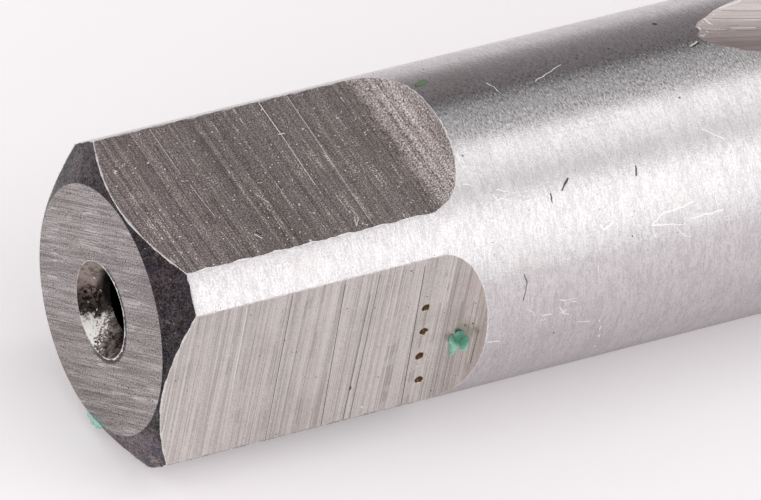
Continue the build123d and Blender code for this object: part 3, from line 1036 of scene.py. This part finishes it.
extras = {"endFace": endExtra, "flute": fluteExtra, "flat": flatExtra, "shank": shankExtra,
          "centreHole": holeExtra, "bevel": bevelExtra}
for name in zoneNames:
    tapMesh.materials.append(steelFinish(name, finishes[name], extras.get(name)))
print("finishes done")

# Loose grains on the tap: the faces and the box they lie in, how many to the square millimetre, smallest and
# largest size in millimetres, flatness, seed and finish
grains = {
    "steelDust": ("flat", (-1, -9, 7.8), (22, 9, 10.1), 3.4, 0.018, 0.085, 0.6, 3, "brightGrain"),
    "hollowDust": ("flat", (18.1, -9, 7.95), (22, 9, 10.1), 9.0, 0.015, 0.06, 0.6, 37, "brightGrain"),
    "flatGrit": ("flat", (-1, -10, -9), (22, 9, 10.1), 0.16, 0.02, 0.06, 0.35, 5, "darkGrain"),
    "shankGrit": ("shank", (1, -11, -11), (62, 11, 11), 0.2, 0.016, 0.055, 0.3, 11, "darkGrain"),
    "bevelDust": ("bevel", (0.1, -11, -11), (3, 11, 11), 0.8, 0.012, 0.04, 0.5, 13, "brightGrain"),
    "tipChips": ("flute", (39.6, 0.8, 9.4), (41.3, 2.8, 10.2), 9.0, 0.03, 0.15, 0.6, 23, "brightGrain"),
    "holeCrumbs": ("centreHole", (0.3, -3, -3.1), (2.2, 3, -0.1), 9.0, 0.02, 0.1, 0.7, 17, "darkGrain"),
    "holeChips": ("centreHole", (0.3, 0, -2.6), (2.2, 3, 0.3), 3.0, 0.02, 0.12, 0.5, 19, "brightGrain"),
}
grainFinishes = {
    "brightGrain": finish(dark=(0.75, 0.72, 0.7), light=(0.98, 0.96, 0.95), stretch=(9, 9, 9),
                          rough=(0.35, 0.5), stainDepth=0.0, bump=0.002, metallic=0.3),
    "darkGrain": finish(dark=(0.02, 0.016, 0.014), light=(0.11, 0.09, 0.08), stretch=(9, 9, 9),
                        rough=(0.5, 0.7), stainDepth=0.0, bump=0.002),
}
looseFinish = {name: steelFinish(name, settings) for name, settings in grainFinishes.items()}


def chance(plan, low, high, seed):
    # a random number or vector for each grain
    kind, first = ("FLOAT_VECTOR", 0) if isinstance(low, tuple) else ("FLOAT", 2)
    return addNode(plan, "FunctionNodeRandomValue", {first: low, first + 1: high, "Seed": seed},
                   data_type=kind)[first // 2]


def strew(plan, material, spots, shape, lean, scale, kept=True):
    # a copy of a small shape at each spot, as real geometry with its material
    turned = addNode(plan, "FunctionNodeRotateRotation", {"Rotation": spots["Rotation"], "Rotate By": lean},
                     rotation_space="LOCAL")[0]
    placed = addNode(plan, "GeometryNodeInstanceOnPoints", {
        "Points": spots["Points"], "Selection": kept, "Instance": shape, "Rotation": turned,
        "Scale": scale})[0]
    solid = addNode(plan, "GeometryNodeRealizeInstances", {0: placed})[0]
    finished = addNode(plan, "GeometryNodeSetMaterial", {"Geometry": solid, "Material": material})[0]
    return {"Geometry": finished}


def smallBall(plan):
    return addNode(plan, "GeometryNodeMeshIcoSphere", {"Radius": 1.0, "Subdivisions": 1})[0]


def grainNodes(plan, ground, often, smallest, largest, flatness, seed, material):
    # grains strewn over a surface, many small ones and few large ones
    spots = addNode(plan, "GeometryNodeDistributePointsOnFaces", {
        "Mesh": ground, "Density": often * (1 / mm**2), "Seed": seed})
    squash = addNode(plan, "CombineXYZ", {0: 1.0, 1: 0.65, 2: flatness})[0]
    grain = addNode(plan, "GeometryNodeTransform", {"Geometry": smallBall(plan), "Scale": squash})[0]
    share = calc("POWER", chance(plan, 0.0, 1.0, seed), 2.5)
    size = addNode(plan, "MapRange", {"Value": share, "To Min": smallest, "To Max": largest})[0]
    shape = chance(plan, (0.6, 0.6, 0.6), (1.5, 1.0, 1.2), seed)
    spin = chance(plan, (-0.3, -0.3, -3.1), (0.3, 0.3, 3.1), seed)
    return strew(plan, material, spots, grain, spin, scaled(shape, size * mm))


def sliverNodes(plan, line, spacing, length, thickness, share, seed, material):
    # slivers of turned-up metal along an edge, with gaps
    curve = addNode(plan, "GeometryNodeMeshToCurve", {"Mesh": line})[0]
    spots = addNode(plan, "GeometryNodeCurveToPoints", {"Curve": curve, "Length": spacing * mm},
                    mode="LENGTH")
    size = addNode(plan, "CombineXYZ", {0: thickness, 1: thickness, 2: length})[0]
    size = scaled(move("MULTIPLY", size, chance(plan, (0.4, 0.4, 0.3), (1.4, 1.4, 1.3), seed)), mm)
    lean = chance(plan, (-0.25, -0.25, -3.1), (0.25, 0.25, 3.1), seed)
    kept = addNode(plan, "FunctionNodeRandomValue", {"Probability": share, "Seed": seed},
                   data_type="BOOLEAN")[3]
    return strew(plan, material, spots, smallBall(plan), lean, size, kept)


def plainMesh(name, maker, modifier):
    # what the modifier makes is kept as a plain mesh
    mesh = bpy.data.meshes.new_from_object(maker.evaluated_get(bpy.context.evaluated_depsgraph_get()))
    mesh.name = name
    maker.modifiers.remove(modifier)
    bpy.data.objects.remove(maker)
    return mesh


def keepPiece(name, mesh):
    piece = addObject(name, mesh)
    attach(piece, "root")
    print(name, "triangles", sum(len(face.vertices) - 2 for face in mesh.polygons))


def growPiece(name, plan, ground, amounts):
    # the plan runs once over its ground; the amounts come in the order of its inputs
    maker = addObject(name + "Maker", ground)
    growth = maker.modifiers.new("growth", "NODES")
    growth.node_group = plan
    inputs = [socket for socket in plan.interface.items_tree if socket.in_out == "INPUT"]
    for socket, value in zip(inputs[1:], amounts):
        growth[socket.identifier] = value
    keepPiece(name, plainMesh(name, maker, growth))


def groundFor(where, low, high):
    # the tap's faces that lie within a box and belong to one zone
    work = bmesh.new()
    work.from_mesh(tapMesh)
    drop = []
    for face in work.faces:
        middle = face.calc_center_median() / mm
        inside = all(low[axis] < middle[axis] < high[axis] for axis in range(3))
        if face.material_index != zone[where] or not inside:
            drop.append(face)
    bmesh.ops.delete(work, geom=drop, context="FACES")
    ground = bpy.data.meshes.new("ground")
    work.to_mesh(ground)
    work.free()
    return ground


strewnGrains = newGroup("strewnGrains", "Geometry", {
    "Geometry": "Geometry", "Often": 1.0, "Smallest": 0.02, "Largest": 0.06, "Flatness": 0.5, "Seed": 0,
    "Finish": None}, grainNodes)
for name, (where, low, high, *amounts, material) in grains.items():
    growPiece(name, strewnGrains, groundFor(where, low, high), (*amounts, looseFinish[material]))
print("grains strewn")

# Slivers along the edges: spacing, length, thickness in millimetres, the share kept and the seed
slivers = {"bevelSlivers": (0.09, 0.12, 0.036, 0.6, 23), "landSlivers": (0.16, 0.1, 0.018, 0.35, 29),
           "hollowSlivers": (0.13, 0.1, 0.02, 0.4, 31)}


def edgeLines(kind):
    # lines along one kind of edge, repeated for the four flats
    shank, flatHeight, flatEnd = [tapSize[name] for name in ("shankRadius", "flatHeight", "flatEnd")]
    hollow, face = tapSize["hollowRadius"], tapSize["faceRadius"]
    half = math.sqrt(shank**2 - flatHeight**2)
    count = 60
    across = np.linspace(-half, half, count)
    level = np.full(count, flatHeight)
    if kind == "bevelSlivers":
        rise = (np.hypot(flatHeight, across) - face) / (shank - face)
        lines = [(rise * tapSize["bevelLength"], across, level)]
    elif kind == "landSlivers":
        lines = [(np.linspace(1.6, flatEnd, count), np.full(count, half * side), level) for side in (-1, 1)]
    else:
        height = np.sqrt(shank**2 - across**2)
        drop = np.clip((flatHeight + hollow - height) / hollow, -1, 1)
        lines = [(flatEnd + hollow * np.sin(np.arccos(drop)), across, height)]
    points, edges = [], []
    for quarter in range(4):
        turn = quarter * math.pi / 2
        for along, across, height in lines:
            first = len(points)
            y = across * math.cos(turn) + height * math.sin(turn)
            z = -across * math.sin(turn) + height * math.cos(turn)
            points += (np.stack([np.maximum(along, 0.02), y, z], axis=-1) * mm).tolist()
            edges += [(number, number + 1) for number in range(first, len(points) - 1)]
    mesh = bpy.data.meshes.new("edgeLines")
    mesh.from_pydata(points, edges, [])
    return mesh


edgeSlivers = newGroup("edgeSlivers", "Geometry", {
    "Geometry": "Geometry", "Spacing": 0.1, "Length": 0.1, "Thickness": 0.02, "Kept": 0.6, "Seed": 0,
    "Finish": None}, sliverNodes)
for name, amounts in slivers.items():
    growPiece(name, edgeSlivers, edgeLines(name), (*amounts, looseFinish["brightGrain"]))
print("slivers placed")

# Green wax stuck to the tap: blobs as centre and half sizes in millimetres, and spots of another colour,
# each with its colour, centre, and the distances at which it starts to fade and ends
wax = {
    "blobs": [((19.88, -8.52, -1.45), (0.3, 0.2, 0.66)), ((19.7, -8.42, -0.85), (0.22, 0.14, 0.4)),
              ((20.36, -8.95, -0.9), (0.38, 0.2, 0.64)), ((20.1, -8.7, -0.95), (0.3, 0.14, 0.45)),
              ((20.12, -8.72, -0.35), (0.52, 0.17, 0.36)), ((0.18, -0.75, -7.96), (0.13, 0.33, 0.26)),
              ((0.2, -1.15, -8.08), (0.14, 0.36, 0.33)), ((0.19, -1.6, -7.93), (0.14, 0.4, 0.28)),
              ((0.17, -2.0, -7.72), (0.13, 0.3, 0.24)), ((21.92, 2.82, 9.6), (0.32, 0.26, 0.15)),
              ((21.6, 2.7, 9.63), (0.28, 0.18, 0.12))],
    "voxel": 0.045, "lump": 0.09, "pale": (0.42, 0.77, 0.62), "deep": (0.07, 0.28, 0.19), "rough": 0.5,
    # the first spot is painted shade in the middle of the wax on the front flat, and the last is painted
    # light on the wax on the end face
    "spots": [((0.07, 0.28, 0.19), (20.05, -8.85, -0.5), 0.35, 0.75),
              ((0.1, 0.115, 0.05), (21.85, 2.8, 9.6), 0.7, 0.9),
              ((0.55, 1.0, 0.88), (0.2, -1.5, -8.0), 1.0, 1.3)],
}


def waxFinish():
    material, shader, place = newMaterial("greenWax")
    cloud = use(patches, Place=place, Size=0.5, Cover=0.45, Softness=0.12)["Mask"]
    colour = paint(cloud * 0.6, wax["pale"], wax["deep"])
    # spots of another colour, the first painted shade and the last painted light
    for spotColour, centre, radius, reach in wax["spots"]:
        halo = use(stainRing, Place=place, Centre=centre, Radius=radius, Reach=reach)["Halo"]
        colour = paint(halo * 0.85, colour, spotColour)
    feed(shader["Base Color"], colour)
    feed(shader["Roughness"], wax["rough"])
    return material


def makeWax():
    # the blobs are pressed together at a thousand times their size, then shrunk
    work = bmesh.new()
    for centre, halves in wax["blobs"]:
        grown = bmesh.ops.create_icosphere(work, subdivisions=3, radius=1.0)
        for vert in grown["verts"]:
            vert.co = Vector([c + h * v for c, h, v in zip(centre, halves, vert.co)])
    mesh = bpy.data.meshes.new("waxStart")
    work.to_mesh(mesh)
    work.free()
    maker = addObject("waxMaker", mesh)
    remesh = maker.modifiers.new("remesh", "REMESH")
    remesh.mode = "VOXEL"
    remesh.voxel_size = wax["voxel"]
    kept = plainMesh("waxFlecks", maker, remesh)
    for vert in kept.vertices:
        lump = noise.noise(vert.co * 3.0) + 0.6 * noise.noise(vert.co * 8.0)
        vert.co = (vert.co + vert.normal * wax["lump"] * lump) * mm
    kept.polygons.foreach_set("use_smooth", [True] * len(kept.polygons))
    kept.materials.append(waxFinish())
    checkMesh(kept)
    keepPiece("waxFlecks", kept)


makeWax()

# Studio: the floor runs through the three points that the tap rests on; all lengths in millimetres
studio = {
    "rests": [(21.0, -0.76, -9.97), (91.93, 6.4, -13.57), (91.39, -8.27, -12.51)], "floorHalf": 6000.0,
    "floorColour": (0.9, 0.862, 0.872), "floorRough": 0.9, "floorShine": 0.1,
    "glowColour": (0.985, 0.965, 1.0),
    # what the camera sees of the table: its glow, more to the left, and a painted shadow with less glow close
    # to the square end
    "tableGlow": 0.265, "shownLeft": 0.085, "shownReach": (50, -60),
    "shadeGlow": 0.05, "shadeRange": (26, 10), "shadeStart": (-6, 4), "shadeEnd": (50, 15),
    # what the steel sees of the table: more light to the front, behind, to the left and beyond the end
    "frontGlow": 0.125, "frontRange": (12, 60), "backGlow": 0.27, "backRange": (0, 20), "backEnd": (70, 10),
    "leftGlow": 0.09, "leftReach": (10, -12), "nearGlow": 0.34, "nearReach": (-22, -6),
    # light round the tap: degrees from overhead, minus to the back and plus to the front, and its level
    "bands": [(-110, 0.8), (-92, 0.45), (-88, 0.36), (-80, 0.265), (-72, 0.225), (-64, 0.225), (-56, 0.198),
              (-50, 0.132), (-45, 0.126), (-41, 0.4), (-32, 0.455), (-24, 0.52), (-17, 0.54), (-12, 0.7),
              (-8, 1.12), (0, 1.22), (8, 1.1), (16, 0.98), (24, 0.79), (30, 0.88), (36, 1.12), (42, 1.28),
              (50, 1.3), (60, 1.31), (68, 1.25), (74, 1.15), (80, 1.02), (90, 1.1), (110, 0.8)],
    # light from the left, and less light from both ends of the tap
    "leftHigh": 0.82, "leftLow": 0.4, "leftRise": (0.0, 0.45), "leftRange": (0.32, -0.2),
    "endLevel": 0.5, "endRange": (0.85, 0.98), "top": 2.0,
}
floorPoints = [Vector(place) * mm for place in studio["rests"]]
floorNormal = (floorPoints[1] - floorPoints[0]).cross(floorPoints[2] - floorPoints[0]).normalized()
if floorNormal.z < 0:
    floorNormal = -floorNormal
lowest = min((Vector(v.co) - floorPoints[0]).dot(floorNormal) for v in tapMesh.vertices)
print("floor leans", round(math.degrees(floorNormal.angle(Vector((0, 0, 1)))), 2), "degrees, gap mm",
      round(lowest / mm, 3))
floorCentre = floorPoints[0] + floorNormal * min(lowest, 0)
sideways = Vector((0, 1, 0)).cross(floorNormal).normalized()
lengthways = floorNormal.cross(sideways)
half = studio["floorHalf"] * mm
floorMesh = bpy.data.meshes.new("studioFloor")
floorMesh.from_pydata([floorCentre + sideways * a * half + lengthways * b * half
                       for a, b in ((-1, -1), (1, -1), (1, 1), (-1, 1))], [], [(0, 1, 2, 3)])
floorMaterial, floorShader, place = newMaterial("paleTable")
rays = addNode(floorMaterial.node_tree, "LightPath")
along, depth, height = split(place)
left = fade(along, *studio["leftReach"])
near = left * fade(along, *studio["nearReach"])
front = fade(depth * -1.0, *studio["frontRange"])
back = band(depth, studio["backRange"], studio["backEnd"])
seen = front * studio["frontGlow"] + back * studio["backGlow"]
seen = seen + near * studio["nearGlow"] + left * studio["leftGlow"]
# painted shadow on the floor close to the square end
close = fade(calc("ABSOLUTE", depth), *studio["shadeRange"])
close = close * band(along, studio["shadeStart"], studio["shadeEnd"])
shown = fade(along, *studio["shownReach"]) * studio["shownLeft"] + studio["tableGlow"]
shown = shown - close * studio["shadeGlow"]
glow = rays["Is Camera Ray"] * shown + rays["Is Glossy Ray"] * seen
for label, value in {"Base Color": (*studio["floorColour"], 1), "Roughness": studio["floorRough"],
                     "Specular IOR Level": studio["floorShine"], "Emission Strength": glow,
                     "Emission Color": (*studio["glowColour"], 1)}.items():
    feed(floorShader[label], value)
floorMesh.materials.append(floorMaterial)
studioFloor = addObject("studioFloor", floorMesh)

# Soft light that changes only round the tap's axis, darker low behind it
world = bpy.data.worlds.new("softStudio")
scene.world = world
world.use_nodes = True
x, y, z = split(addNode(world.node_tree, "TexCoord")["Generated"])
levels = [(turn, level / studio["top"]) for turn, level in studio["bands"]]
around = angleRamp(calc("ARCTAN2", y * -1.0, z), levels)
low, high = [(studio[name] / studio["top"],) * 3 for name in ("leftLow", "leftHigh")]
light = paint(fade(x, *studio["leftRange"]), around, paint(fade(z, *studio["leftRise"]), low, high))
ends = fade(calc("ABSOLUTE", x), *studio["endRange"]) * (1 - studio["endLevel"])
background = world.node_tree.nodes["Background"].inputs
feed(background["Color"], light)
feed(background["Strength"], (1.0 - ends) * studio["top"])
print("studio ready")

# Camera at the photograph's place
cameraPlace = {"target": (15.3, -5.5, 5.2), "distance": 672.5, "heading": 36.33, "elevation": 41.63,
               "roll": 12.02, "lens": 533.8, "sensor": 36.0}
heading, elevation, roll = [math.radians(cameraPlace[name]) for name in ("heading", "elevation", "roll")]
forward = Vector((math.sin(heading) * math.cos(elevation), math.cos(heading) * math.cos(elevation),
                  -math.sin(elevation)))
cameraData = bpy.data.cameras.new("photoCamera")
cameraData.lens = cameraPlace["lens"]
cameraData.sensor_width = cameraPlace["sensor"]
cameraData.clip_end = 10
photoCamera = addObject("photoCamera", cameraData)
photoCamera.rotation_mode = "QUATERNION"
photoCamera.rotation_quaternion = forward.to_track_quat("-Z", "Y") @ Quaternion(Vector((0, 0, 1)), roll)
photoCamera.location = Vector(cameraPlace["target"]) * mm - forward * cameraPlace["distance"] * mm
scene.camera = photoCamera
scene.view_settings.view_transform = "Standard"

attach(tapBody, "root")
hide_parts("tap")
print("tap finished")
